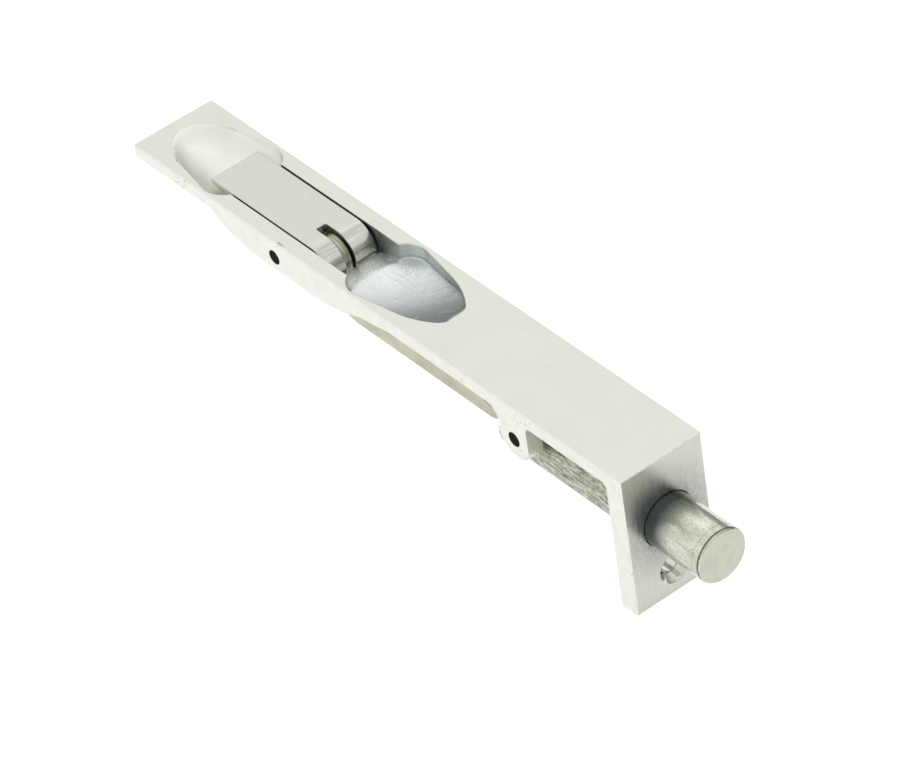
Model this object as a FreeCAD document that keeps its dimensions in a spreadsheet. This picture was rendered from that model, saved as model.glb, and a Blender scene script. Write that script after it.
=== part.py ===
"""Lever-action flush bolt, 6 inch, modelled as separate pieces that share one frame.

Millimetres. +X is the way the bolt shoots, +Z is the outward normal of the face plate.
The origin is where the bolt's axis crosses the outer face of the end plate.
"""
import FreeCAD, Part
import Sketcher
import math
import os

from FreeCAD import Placement, Rotation, Vector

# alias: (value in mm, meaning). Depths are measured down from the face, and
# distances called _back are measured back (towards -X) from the end plate's outer face.
SIZES = {
    "plate_long": (152.0, "overall length of the casting"),
    "plate_wide": (20.0, "width of the face plate and the end plate"),
    "plate_thick": (3.0, "thickness of the face plate"),
    "end_thick": (4.5, "thickness of the end plate"),
    "end_high": (33.6, "height of the end plate, face included"),
    "axis_deep": (15.2, "depth of the bolt's axis below the face"),
    "edge_soft": (0.35, "polishing radius on the outer edges"),
    "root_soft": (1.5, "radius where the end plate meets the face plate"),
    "nose_rad": (5.9, "radius of the turned nose"),
    "shank_rad": (5.85, "radius of the rough shank behind the nose"),
    "bore_rad": (5.98, "radius of the bolt's hole in the end plate"),
    "nose_proud": (15.5, "how far the nose stands out when the bolt is shot"),
    "groove_rad": (5.5, "radius of the groove behind the nose"),
    "groove_wide": (0.8, "width of that groove"),
    "nose_round": (0.6, "rounding of the nose's rim"),
    "shank_back": (43.0, "where the full-round shank ends"),
    "tongue_back": (57.0, "where the half-round tongue ends"),
    "tongue_side": (0.65, "offset of the tongue's flat from the middle plane"),
    "flat_high": (5.05, "height of the flat on the shank above its axis"),
    "flat_from": (11.0, "front end of that flat"),
    "flat_to": (39.0, "rear end of that flat"),
    "csk_rad": (3.6, "countersink radius of a screw hole"),
    "screw_rad": (2.0, "radius of a screw hole"),
    "csk_deep": (1.6, "depth of a countersink"),
    "end_screw_deep": (27.65, "depth of the end plate's screw hole below the face"),
    "recess_screw_back": (123.4, "place of the screw hole under the lever"),
    "recess_boss_rad": (4.6, "radius of the boss below that hole"),
    "recess_boss_deep": (6.3, "depth of that boss below the face"),
    "pocket_half": (6.45, "half the width of the lever's pocket"),
    "pocket_right": (86.5, "end of the pocket nearer the bolt"),
    "pocket_left": (124.0, "far end of the pocket"),
    "well_right": (93.1, "end of the open well nearer the bolt"),
    "well_left": (119.4, "far end of the open well"),
    "well_floor_right": (5.5, "depth of the sloping floor at the well"),
    "scoop_floor_right": (3.72, "depth of the sloping floor at the pocket's end"),
    "floor_left": (3.8, "depth of the floor under the lever's arm"),
    "cheek_half": (10.0, "half the width over the pocket's housing"),
    "cheek_start": (126.6, "far end of the housing below the plate"),
    "cheek_toe": (122.0, "where its underside has left the plate"),
    "cheek_toe_deep": (5.9, "depth there"),
    "cheek_heel": (112.5, "far end of the housing's level underside"),
    "cheek_ball": (91.5, "near end of the housing's level underside"),
    "cheek_deep": (7.55, "depth of the housing's level underside"),
    "cheek_rise": (84.5, "where the underside sweeps up again"),
    "cheek_rise_deep": (6.3, "depth there"),
    "cheek_end": (74.5, "near end of the housing below the plate"),
    "scoop_round": (5.5, "radius of the scoop's shoulders"),
    "scoop_shoulder_x": (81.6, "place of the shoulders' centre"),
    "scoop_shoulder_y": (3.6, "sideways offset of the shoulders' centre"),
    "scoop_taper": (10.0, "angle of the scoop's sides, degrees"),
    "scoop_flank_from": (70.4, "where the scoop's side starts to curve in"),
    "scoop_flank_rad": (20.9, "radius of that curve"),
    "scoop_tip_rad": (4.7, "radius of the scoop's tip"),
    "scoop_tip": (60.2, "place of the scoop's tip"),
    "scoop_overlap": (6.6, "how far a scoop's hollow runs into the pocket"),
    "dish_centre": (83.2, "place of the deepest point of the scoop"),
    "dish_a": (37.0, "dish semi-axis along the plate"),
    "dish_b": (30.0, "dish semi-axis across the plate"),
    "dish_c": (20.25, "dish semi-axis down"),
    "dish_lift": (16.0, "height of the dish's centre above the face"),
    "far_dish_a": (28.2, "far dish semi-axis along the plate"),
    "far_dish_b": (12.8, "far dish semi-axis across the plate"),
    "far_dish_c": (10.0, "far dish semi-axis down"),
    "far_dish_lift": (6.6, "height of the far dish's centre above the face"),
    "scoop_cut": (8.0, "depth that a scoop's straight sides are cut from"),
    "backing_half": (22.0, "half the length of the block that holds a scoop's backing"),
    "backing_deep": (7.0, "lowest level of that block below the face"),
    "clear_deep": (14.0, "a depth below everything in the pocket"),
    "wall": (1.3, "thickness of the casting under a scoop"),
    "pivot_back": (106.2, "place of the lever's pivot"),
    "pivot_deep": (4.3, "depth of the lever's pivot"),
    "crank_x": (7.5, "crank pin ahead of the pivot"),
    "crank_down": (0.9, "crank pin below the pivot"),
    "pin_rad": (1.6, "radius of the pivot pin and the guide pin"),
    "crank_pin_rad": (1.5, "radius of the crank pin"),
    "running": (0.05, "radial clearance of a turning fit"),
    "crank_pin_recess": (0.3, "how far the crank pin's ends sit inside the hub"),
    "rivet_recess": (0.4, "how far the rivet's far end sits inside the tongue"),
    "pin_recess": (1.1, "how far a pin's ends sit inside their holes"),
    "lever_half": (6.1, "half the width of the lever"),
    "lever_tip": (131.2, "place of the lever's tip"),
    "tip_rise": (0.7, "depth where the tip's nose begins"),
    "tip_under": (1.5, "thickness of the lever just behind its tip"),
    "tip_length": (1.4, "length of the tip's rounded nose"),
    "tip_round": (1.8, "radius of that nose"),
    "arm_thin_back": (123.8, "where the arm's underside starts to slope"),
    "arm_thin": (1.85, "thickness of the arm there"),
    "arm_thick_back": (110.5, "where the arm meets the pivot's lobe"),
    "arm_thick": (5.2, "thickness of the arm there"),
    "hub_rad": (5.2, "radius of the lever's hub"),
    "hub_slope": (60.0, "angle below level where the arm meets hub and lobe, degrees"),
    "lobe_rad": (2.9, "radius of the lobe round the pivot"),
    "slot_left": (1.6, "near side of the hub's slot, from the middle plane"),
    "slot_right": (0.8, "far side of the hub's slot, from the middle plane"),
    "slot_end_top": (102.4, "far end of the slot at the lever's top"),
    "slot_end_low": (103.65, "far end of the slot below the crank pin"),
    "link_near": (1.4, "near side of the link, from the middle plane"),
    "link_far": (0.6, "far side of the link, from the middle plane"),
    "link_half": (4.3, "half the height of the link's bar"),
    "link_neck": (4.3, "half the width of the link's neck and its knuckle"),
    "link_elbow": (10.0, "outer radius of the link's elbow"),
    "link_crook": (1.5, "inner radius of the link's elbow"),
    "rivet_back": (51.9, "place of the rivet that joins link and bolt"),
    "rivet_rad": (1.25, "radius of that rivet"),
    "fork_half": (2.72, "half the width of the fork that spans the rivet"),
    "fork_under": (1.45, "bottom of the fork below the bolt's axis"),
    "guide_back": (32.3, "place of the guide pin"),
    "guide_deep": (8.3, "depth of the guide pin"),
    "ear_rad": (4.2, "radius of a lug round the guide pin"),
    "ear_front": (28.3, "place of the lugs' flat front"),
    "ear_inner": (6.2, "half the gap between the lugs"),
    "ear_toe": (1.2, "level length under a lug, ahead of the guide pin"),
    "ear_toe_rad": (2.8, "radius of a lug's lower front corner"),
    "ear_root": (39.6, "where a lug's rear flank leaves the plate"),
    "ear_fillet": (3.2, "radius of the lug's rear root"),
    "spring_thick": (0.35, "thickness of the friction spring"),
    "spring_wide": (5.0, "width of the friction spring"),
    "spring_foot": (5.2, "reach of a spring foot from the guide pin"),
    "spring_toe": (1.0, "length of a spring foot's upturned toe"),
    "spring_leg": (0.455, "height of a spring leg's section at its foot"),
    "spring_shoulder": (0.2, "height of the spring's shoulders above the pin's axis"),
    "touch_gap": (0.05, "gap left between a spring foot and the bolt's flat"),
}


class Size:
    """A number together with the sheet expression that yields it."""

    def __init__(self, value, text):
        self.value = value
        self.text = text

    def joined(self, other, sign, value):
        return Size(value, f"({self.text} {sign} {as_size(other).text})")

    def __add__(self, other):
        return self.joined(other, "+", self.value + as_size(other).value)

    def __sub__(self, other):
        return self.joined(other, "-", self.value - as_size(other).value)

    def __mul__(self, other):
        return self.joined(other, "*", self.value * as_size(other).value)

    def __truediv__(self, other):
        return self.joined(other, "/", self.value / as_size(other).value)

    def __neg__(self):
        return Size(-self.value, f"(0 - {self.text})")


def as_size(value):
    """A plain number as a Size; a Size as itself."""
    return value if isinstance(value, Size) else Size(float(value), repr(float(value)))


class Sheet:
    """The sizes of the sheet as attributes: sizes.plate_long and so on."""

    def __init__(self, doc):
        sheet = doc.addObject("Spreadsheet::Sheet", "sizes")
        for row, (alias, (value, meaning)) in enumerate(SIZES.items(), start=1):
            sheet.set(f"A{row}", alias)
            sheet.set(f"B{row}", str(value))
            sheet.set(f"C{row}", meaning)
            sheet.setAlias(f"B{row}", alias)
            setattr(self, alias, Size(value, f"sizes.{alias}"))


doc = FreeCAD.newDocument("flush_bolt")
s = Sheet(doc)
doc.recompute()

ORIGIN = (0, 0, 0)
OVER = 1.0  # how far a cutting tool runs past what it cuts
ALONG = {
    "X": Rotation(Vector(0, 1, 0), 90),
    "Y": Rotation(Vector(1, 0, 0), -90),
    "Z": Rotation(),
}


def deep(depth):
    """Height of a point that lies this far below the face."""
    return s.axis_deep - depth


def bind(thing, prop, size):
    """Tie one property of an object to the sheet."""
    thing.setExpression(prop, as_size(size).text)


def place(thing, at, turn=Rotation()):
    """Give an object its place, with each coordinate tied to the sheet."""
    thing.Placement = Placement(Vector(*[as_size(value).value for value in at]), turn)
    for axis, value in zip("xyz", at):
        bind(thing, f"Placement.Base.{axis}", value)
    return thing


def box(name, low, high):
    """A block between two corners."""
    block = doc.addObject("Part::Box", name)
    for prop, start, end in zip(("Length", "Width", "Height"), low, high):
        bind(block, prop, as_size(end) - start)
    return place(block, low)


def cylinder(name, along, at, radius, length):
    """A round bar that starts at a point and runs along +X, +Y or +Z."""
    bar = doc.addObject("Part::Cylinder", name)
    bind(bar, "Radius", radius)
    bind(bar, "Height", length)
    return place(bar, at, ALONG[along])


def cone(name, at, turn, radius_low, radius_high, length):
    """A countersink's cone, from its small end to its wide end."""
    cut = doc.addObject("Part::Cone", name)
    bind(cut, "Radius1", radius_low)
    bind(cut, "Radius2", radius_high)
    bind(cut, "Height", length)
    return place(cut, at, turn)


def ellipsoid(name, at, along, across, down):
    """An ellipsoid given by its three semi-axes."""
    dish = doc.addObject("Part::Ellipsoid", name)
    bind(dish, "Radius1", down)
    bind(dish, "Radius2", along)
    bind(dish, "Radius3", across)
    return place(dish, at)


def fuse(name, *pieces):
    """One solid made of several."""
    whole = doc.addObject("Part::MultiFuse", name)
    whole.Shapes = list(pieces)
    whole.Refine = True
    return whole


def common(name, *pieces):
    """The space that several solids share."""
    shared = doc.addObject("Part::MultiCommon", name)
    shared.Shapes = list(pieces)
    return shared


def cut(name, base, *tools):
    """A solid less several others."""
    tool = tools[0] if len(tools) == 1 else fuse(f"{name}_tools", *tools)
    result = doc.addObject("Part::Cut", name)
    result.Base = base
    result.Tool = tool
    result.Refine = True
    return result


def arc_between(start, end, radius, side):
    """The short arc from start to end; its centre lies left of the way for side 1."""
    chord = end - start
    reach = math.sqrt(max(radius ** 2 - chord.Length ** 2 / 4, 0.0))
    normal = Vector(-chord.y, chord.x, 0).normalize()
    centre = (start + end) / 2 + normal * reach * side
    first, last = (start, end) if side > 0 else (end, start)
    angles = [math.atan2(p.y - centre.y, p.x - centre.x) for p in (first, last)]
    circle = Part.Circle(centre, Vector(0, 0, 1), radius)
    return Part.ArcOfCircle(circle, angles[0], angles[1])


def outline(name, plane, offset, corners):
    """A closed sketch. Each corner is (x, y), or (x, y, radius, side) when the edge
    that leaves it is an arc. Every corner and radius is tied to the sheet."""
    sketch = doc.addObject("Sketcher::SketchObject", name)
    turn = Rotation(Vector(1, 0, 0), 90) if plane == "XZ" else Rotation()
    place(sketch, (0, offset, 0) if plane == "XZ" else (0, 0, offset), turn)
    points = [Vector(as_size(c[0]).value, as_size(c[1]).value, 0) for c in corners]
    starts = []
    for index, corner in enumerate(corners):
        here, there = points[index], points[(index + 1) % len(points)]
        if len(corner) == 2:
            sketch.addGeometry(Part.LineSegment(here, there))
            starts.append(1)
            continue
        radius, side = as_size(corner[2]), corner[3]
        sketch.addGeometry(arc_between(here, there, radius.value, side))
        starts.append(1 if side > 0 else 2)
    for index, corner in enumerate(corners):
        follower = (index + 1) % len(corners)
        join = (index, 3 - starts[index], follower, starts[follower])
        sketch.addConstraint(Sketcher.Constraint("Coincident", *join))
        for kind, value in (("DistanceX", corner[0]), ("DistanceY", corner[1])):
            tie(sketch, value, kind, -1, 1, index, starts[index])
        if len(corner) == 4:
            tie(sketch, corner[2], "Radius", index)
    return sketch


def tie(sketch, size, *terms):
    """Add a measured constraint and tie it to the sheet."""
    size = as_size(size)
    number = sketch.addConstraint(Sketcher.Constraint(*terms, size.value))
    bind(sketch, f"Constraints[{number}]", size)


def slab(name, sketch, direction, length):
    """A sketch drawn out along a direction."""
    solid = doc.addObject("Part::Extrusion", name)
    solid.Base = sketch
    solid.DirMode = "Custom"
    solid.Dir = direction
    solid.Solid = True
    bind(solid, "LengthFwd", length)
    return solid


def slab_across(name, half, corners):
    """A profile in the XZ plane, drawn out across the middle plane."""
    return slab(name, outline(f"{name}_outline", "XZ", -half, corners), Vector(0, 1, 0), half * 2)


def soften(name, base, radius, keep):
    """Round the edges of a solid that the test picks by their middle point."""
    doc.recompute()
    chosen = []
    for number, edge in enumerate(base.Shape.Edges, start=1):
        if keep(edge.BoundBox.Center, edge):
            chosen.append((number, radius.value, radius.value))
    if not chosen:
        raise RuntimeError(f"{name}: no edge to round")
    rounded = doc.addObject("Part::Fillet", name)
    rounded.Base = base
    rounded.Edges = chosen
    return rounded


def near(value, size):
    """Whether a coordinate is at a given size."""
    return abs(value - as_size(size).value) < 0.01


face = deep(0)
plate_under = deep(s.plate_thick)
half_wide = s.plate_wide / 2
pivot_x = -s.pivot_back
pivot_z = deep(s.pivot_deep)
crank_x = pivot_x + s.crank_x
crank_z = pivot_z - s.crank_down
guide_z = deep(s.guide_deep)


# ---------------------------------------------------------------- the casting
def plates():
    """The face plate and the end plate, one L with softened edges."""
    flat = box("face_plate", (-s.plate_long, -half_wide, plate_under), (0, half_wide, face))
    end = box("end_plate", (-s.end_thick, -half_wide, face - s.end_high), (0, half_wide, face))
    angle = fuse("angle", flat, end)
    root = soften("angle_root", angle, s.root_soft,
                  lambda at, edge: near(at.x, -s.end_thick) and near(at.z, plate_under))
    return soften("angle_soft", root, s.edge_soft, lambda at, edge: outer_edge(at))


def outer_edge(at):
    """Whether an edge is one of those that polishing has rounded."""
    along_top = near(at.z, face) and not near(at.y, 0)
    corner = near(at.x, 0) and near(at.z, face)
    down_front = near(at.x, 0) and not near(at.y, 0)
    foot = near(at.x, 0) and near(at.z, face - s.end_high)
    return along_top or corner or down_front or foot


def housing():
    """The block below the plate that the pocket is sunk into."""
    corners = [
        (-s.cheek_start, plate_under),
        (-s.cheek_toe, deep(s.cheek_toe_deep)),
        (-s.cheek_heel, deep(s.cheek_deep)),
        (-s.cheek_ball, deep(s.cheek_deep)),
        (-s.cheek_rise, deep(s.cheek_rise_deep)),
        (-s.cheek_end, plate_under),
        (-s.cheek_end, deep(s.plate_thick / 2)),
        (-s.cheek_start, deep(s.plate_thick / 2)),
    ]
    return slab_across("housing", s.cheek_half, corners)


def lug(name, side):
    """One of the two lugs that hold the guide pin, on side -1 or 1."""
    foot = deep(s.guide_deep + s.ear_rad)
    rear = -s.guide_back - s.ear_rad
    corners = [
        (-s.ear_root, plate_under, s.ear_fillet, -1),
        (rear, deep(s.plate_thick + s.ear_fillet)),
        (rear, guide_z, s.ear_rad, 1),
        (-s.guide_back, foot),
        (-s.guide_back + s.ear_toe, foot, s.ear_toe_rad, 1),
        (-s.ear_front, foot + s.ear_toe_rad),
        (-s.ear_front, plate_under - s.root_soft, s.root_soft, -1),
        (-s.ear_front + s.root_soft, plate_under),
        (-s.ear_front + s.root_soft, deep(s.plate_thick / 2)),
        (-s.ear_root, deep(s.plate_thick / 2)),
    ]
    start = s.ear_inner if side > 0 else -half_wide
    sketch = outline(f"{name}_outline", "XZ", start, corners)
    return slab(name, sketch, Vector(0, 1, 0), half_wide - s.ear_inner)


def scoop_outline(name, mirror):
    """Plan of a scoop: shoulders at the pocket, tapering to a rounded tip."""
    taper = math.radians(s.scoop_taper.value)
    shoulder = (s.scoop_shoulder_x - s.scoop_round * math.sin(taper),
                s.scoop_shoulder_y + s.scoop_round * math.cos(taper))
    flank = (s.scoop_flank_from,
             shoulder[1] - (shoulder[0] - s.scoop_flank_from) * math.tan(taper))
    bend = (flank[0].value + s.scoop_flank_rad.value * math.sin(taper),
            flank[1].value - s.scoop_flank_rad.value * math.cos(taper))
    tip_centre = s.scoop_tip + s.scoop_tip_rad
    span = math.hypot(bend[0] - tip_centre.value, bend[1])
    meet = (tip_centre - s.scoop_tip_rad * ((bend[0] - tip_centre.value) / span),
            s.scoop_tip_rad * (-bend[1] / span))
    sharp = s.scoop_shoulder_x + math.sqrt(s.scoop_round.value ** 2
                                           - (s.pocket_half.value - s.scoop_shoulder_y.value) ** 2)
    side = -1 if mirror else 1

    def at(x, y):
        return (x - s.pocket_right - s.pocket_left, y) if mirror else (-x, y)

    corners = [
        at(sharp, -s.pocket_half) + (s.scoop_round, side),
        at(shoulder[0], -shoulder[1]),
        at(flank[0], -flank[1]) + (s.scoop_flank_rad, side),
        at(meet[0], -meet[1]) + (s.scoop_tip_rad, side),
        at(s.scoop_tip, as_size(0)) + (s.scoop_tip_rad, side),
        at(meet[0], meet[1]) + (s.scoop_flank_rad, side),
        at(flank[0], flank[1]),
        at(shoulder[0], shoulder[1]) + (s.scoop_round, side),
        at(sharp, s.pocket_half),
        at(sharp + s.scoop_overlap, s.pocket_half),
        at(sharp + s.scoop_overlap, -s.pocket_half),
    ]
    return outline(name, "XY", deep(s.scoop_cut), corners)


def scoop(name, mirror):
    """The hollow of one finger scoop, and the dish that backs it."""
    prism = slab(f"{name}_prism", scoop_outline(f"{name}_outline", mirror), Vector(0, 0, 1),
                 s.scoop_cut + OVER)
    if mirror:
        centre = (s.dish_centre - s.pocket_right - s.pocket_left, 0, face + s.far_dish_lift)
        axes = (s.far_dish_a, s.far_dish_b, s.far_dish_c)
    else:
        centre = (-s.dish_centre, 0, face + s.dish_lift)
        axes = (s.dish_a, s.dish_b, s.dish_c)
    dish = ellipsoid(f"{name}_dish", centre, *axes)
    hollow = common(f"{name}_hollow", prism, dish)
    back = ellipsoid(f"{name}_back", centre, *[axis + s.wall for axis in axes])
    start = (centre[0] - s.backing_half, -s.cheek_half, deep(s.backing_deep))
    end = (centre[0] + s.backing_half, s.cheek_half, deep(s.plate_thick / 2))
    limits = box(f"{name}_limits", start, end)
    return hollow, common(f"{name}_backing", back, limits)


def pocket():
    """The lever's pocket: an open well with a floor at each end."""
    top = face + OVER
    well = box("well", (-s.well_left, -s.pocket_half, deep(s.clear_deep)),
               (-s.well_right, s.pocket_half, top))
    left = box("floor_left", (-s.pocket_left, -s.pocket_half, deep(s.floor_left)),
               (-s.well_left, s.pocket_half, top))
    slope = [
        (-s.well_right, deep(s.well_floor_right)),
        (-s.pocket_right, deep(s.scoop_floor_right)),
        (-s.pocket_right, top),
        (-s.well_right, top),
    ]
    return [well, left, slab_across("floor_right", s.pocket_half, slope)]


def screw_hole(name, x, z, turn, length):
    """A countersunk hole whose wide end is at (x, 0, z); turn takes +Z to the way out."""
    outward = turn.multVec(Vector(0, 0, 1))
    sink = (x - s.csk_deep * outward.x, 0, z - s.csk_deep * outward.z)
    foot = (x - length * outward.x, 0, z - length * outward.z)
    head = cone(f"{name}_head", sink, turn, s.screw_rad, s.csk_rad, s.csk_deep)
    hole = doc.addObject("Part::Cylinder", f"{name}_shank")
    bind(hole, "Radius", s.screw_rad)
    bind(hole, "Height", length)
    return [head, place(hole, foot, turn)]


def body_casting():
    """The whole casting."""
    near_hollow, near_backing = scoop("near_scoop", False)
    far_hollow, far_backing = scoop("far_scoop", True)
    boss = cylinder("recess_boss", "Z", (-s.recess_screw_back, 0, deep(s.recess_boss_deep)),
                    s.recess_boss_rad, s.recess_boss_deep - s.plate_thick / 2)
    solid = fuse("casting_solid", plates(), housing(), lug("lug_near", -1), lug("lug_far", 1),
                 near_backing, far_backing, boss)
    bore = cylinder("bolt_bore", "X", (-s.end_thick - OVER, 0, 0), s.bore_rad,
                    s.end_thick + OVER * 2)
    near_side = -half_wide - OVER
    across = s.plate_wide + OVER * 2
    pivot = cylinder("pivot_hole", "Y", (pivot_x, near_side, pivot_z), s.pin_rad, across)
    guide = cylinder("guide_hole", "Y", (-s.guide_back, near_side, guide_z), s.pin_rad, across)
    end_screw = screw_hole("end_screw", as_size(0), deep(s.end_screw_deep), ALONG["X"],
                           s.end_thick + OVER)
    recess_screw = screw_hole("recess_screw", -s.recess_screw_back, deep(s.floor_left),
                              ALONG["Z"], s.recess_boss_deep)
    head_room = cylinder("recess_screw_room", "Z", (-s.recess_screw_back, 0, deep(s.floor_left)),
                         s.csk_rad, s.floor_left + OVER)
    return cut("body_casting", solid, near_hollow, far_hollow, *pocket(), bore, pivot, guide,
               *end_screw, *recess_screw, head_room)


# ------------------------------------------------------------------ the lever
def lever():
    """The lever: a thin arm, a lobe on the pivot and a slotted round hub."""
    slope = math.radians(s.hub_slope.value)
    back, down = math.cos(slope), math.sin(slope)
    arm = slab_across("lever_arm", s.lever_half, [
        (-s.lever_tip, face),
        (-s.lever_tip, deep(s.tip_rise), s.tip_round, 1),
        (s.tip_length - s.lever_tip, deep(s.tip_under)),
        (-s.arm_thin_back, deep(s.arm_thin)),
        (-s.arm_thick_back, deep(s.arm_thick)),
        (pivot_x - s.lobe_rad * back, pivot_z - s.lobe_rad * down),
        (crank_x - s.hub_rad * back, crank_z - s.hub_rad * down),
        (crank_x, crank_z),
        (crank_x, face),
    ])
    across = s.lever_half * 2
    hub = cylinder("lever_hub", "Y", (crank_x, -s.lever_half, crank_z), s.hub_rad, across)
    lobe = cylinder("lever_lobe", "Y", (pivot_x, -s.lever_half, pivot_z), s.lobe_rad, across)
    solid = fuse("lever_solid", arm, hub, lobe)
    slot_wide = s.slot_left + s.slot_right
    slot_tall = box("slot_top", (-s.slot_end_top, -s.slot_left, deep(s.clear_deep)),
                    (-s.well_right, s.slot_right, face + OVER))
    slot_low = box("slot_low", (-s.slot_end_low, -s.slot_left, deep(s.clear_deep)),
                   (crank_x, s.slot_right, crank_z))
    slot_round = cylinder("slot_round", "Y", (crank_x, -s.slot_left, crank_z),
                          s.slot_end_low + crank_x, slot_wide)
    near_side = -s.lever_half - OVER
    pivot = cylinder("lever_bore", "Y", (pivot_x, near_side, pivot_z), s.pin_rad + s.running,
                     across + OVER * 2)
    crank = cylinder("crank_hole", "Y", (crank_x, near_side, crank_z), s.crank_pin_rad,
                     across + OVER * 2)
    return cut("lever", solid, slot_tall, slot_low, slot_round, pivot, crank)


def lever_pivot_pin():
    """The plain pin that the lever turns on, pressed into both sides of the housing."""
    reach = s.cheek_half - s.pin_recess
    return cylinder("lever_pivot_pin", "Y", (pivot_x, -reach, pivot_z), s.pin_rad, reach * 2)


def lever_link_pin():
    """The crank pin, pressed into the two halves of the hub."""
    reach = s.lever_half - s.crank_pin_recess
    return cylinder("lever_link_pin", "Y", (crank_x, -reach, crank_z), s.crank_pin_rad, reach * 2)


# ------------------------------------------------------------------- the link
def link_bar():
    """The flat strip from crank pin to bolt, with an open fork over the rivet."""
    low, high = -s.link_half, s.link_half
    neck_right, neck_left = crank_x + s.link_neck, crank_x - s.link_neck
    end = -s.rivet_back
    corners = [
        (neck_left + s.link_elbow, low),
        (end, low, s.link_half, 1),
        (end + s.link_half, as_size(0), s.link_half, 1),
        (end, high),
        (neck_right + s.link_crook, high, s.link_crook, -1),
        (neck_right, high + s.link_crook),
        (neck_right, crank_z, s.link_neck, 1),
        (crank_x, crank_z + s.link_neck, s.link_neck, 1),
        (neck_left, crank_z),
        (neck_left, low + s.link_elbow, s.link_elbow, 1),
    ]
    wide = s.link_near + s.link_far
    strip = slab("link_strip", outline("link_outline", "XZ", -s.link_near, corners),
                 Vector(0, 1, 0), wide)
    near_side = -s.link_near - OVER
    across = wide + OVER * 2
    eye = cylinder("link_eye", "Y", (crank_x, near_side, crank_z), s.crank_pin_rad + s.running,
                   across)
    fork_z = s.fork_half - s.fork_under
    fork_round = cylinder("fork_round", "Y", (end, near_side, fork_z), s.fork_half, across)
    fork_open = box("fork_open", (end - s.fork_half, near_side, fork_z),
                    (end + s.fork_half, s.link_far + OVER, high + OVER))
    return cut("link_bar", strip, eye, fork_round, fork_open)


# ------------------------------------------------------------------- the bolt
def bolt_rod():
    """The round bolt: turned nose, groove, rough shank with a flat, half-round tongue."""
    nose = cylinder("nose", "X", ORIGIN, s.nose_rad, s.nose_proud)
    rounded = soften("nose_rounded", nose, s.nose_round,
                     lambda at, edge: near(at.x, s.nose_proud) and edge.isClosed())
    shank = cylinder("shank", "X", (-s.tongue_back, 0, 0), s.shank_rad,
                     s.tongue_back - s.groove_wide)
    groove = cylinder("groove", "X", (-s.groove_wide - OVER, 0, 0), s.groove_rad,
                      s.groove_wide + OVER * 2)
    solid = fuse("bolt_solid", rounded, groove, shank)
    reach = s.nose_rad + OVER
    beside = box("tongue_side", (-s.tongue_back - OVER, -reach, -reach),
                 (-s.shank_back, s.tongue_side, reach))
    flat = box("shank_flat", (-s.flat_to, -reach, s.flat_high), (-s.flat_from, reach, reach))
    rivet = cylinder("rivet_hole", "Y", (-s.rivet_back, -reach, 0), s.rivet_rad, reach * 2)
    return cut("bolt_rod", solid, beside, flat, rivet)


def bolt_link_rivet():
    """The rivet through the tongue; the link's fork hooks over its near end."""
    return cylinder("bolt_link_rivet", "Y", (-s.rivet_back, -s.link_near, 0), s.rivet_rad,
                    s.link_near + s.shank_rad - s.rivet_recess)


# ----------------------------------------------------- the guide and its spring
def guide_pin():
    """The cross pin above the bolt's flat; it keeps the bolt from turning."""
    reach = half_wide - s.pin_recess
    return cylinder("guide_pin", "Y", (-s.guide_back, -reach, guide_z), s.pin_rad, reach * 2)


def friction_spring():
    """A saddle of spring strip over the guide pin, whose two feet drag on the bolt."""
    inner = s.pin_rad
    outer = s.pin_rad + s.spring_thick
    foot_z = s.flat_high + s.touch_gap
    x = -s.guide_back
    corners = [
        (x - inner, guide_z, inner, -1),
        (x, guide_z + inner, inner, -1),
        (x + inner, guide_z),
        (x + s.spring_foot, foot_z),
        (x + s.spring_foot + s.spring_toe, foot_z + s.spring_thick),
        (x + s.spring_foot, foot_z + s.spring_leg),
        (x + outer, guide_z + s.spring_shoulder, outer, 1),
        (x, guide_z + outer, outer, 1),
        (x - outer, guide_z + s.spring_shoulder),
        (x - s.spring_foot, foot_z + s.spring_leg),
        (x - s.spring_foot - s.spring_toe, foot_z + s.spring_thick),
        (x - s.spring_foot, foot_z),
    ]
    return slab_across("friction_spring", s.spring_wide / 2, corners)


PIECES = (body_casting, lever, lever_pivot_pin, lever_link_pin, link_bar, bolt_rod,
          bolt_link_rivet, guide_pin, friction_spring)


def write_parts():
    """Make every piece, check the whole document, then write one file a piece."""
    pieces = {make.__name__: make() for make in PIECES}
    doc.recompute()
    for thing in doc.Objects:
        if "Invalid" in thing.State or "Error" in thing.State:
            raise RuntimeError(f"{thing.Name} did not compute: {thing.State}")
    for name, piece in pieces.items():
        piece.Label = name
        if piece.Shape.isNull() or not piece.Shape.isValid():
            raise RuntimeError(f"{name} has no valid shape")
        if len(piece.Shape.Solids) != 1:
            raise RuntimeError(f"{name} has {len(piece.Shape.Solids)} solids")
    os.makedirs("parts", exist_ok=True)
    for name, piece in pieces.items():
        piece.Shape.exportStep(f"parts/{name}.step")
        bounds = piece.Shape.BoundBox
        print(f"{name}: {piece.Shape.Volume:.1f} mm3, x {bounds.XMin:.2f} to {bounds.XMax:.2f}")


write_parts()
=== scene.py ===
"""Looks of a lever-action flush bolt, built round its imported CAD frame.

Every piece is in metres in the frame's own coordinates: +X is the way the bolt shoots,
+Z is the outward normal of the face plate, and the origin is where the bolt's axis
crosses the end plate's outer face.
"""
import math

import bmesh
import bpy
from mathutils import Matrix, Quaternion, Vector


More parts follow.
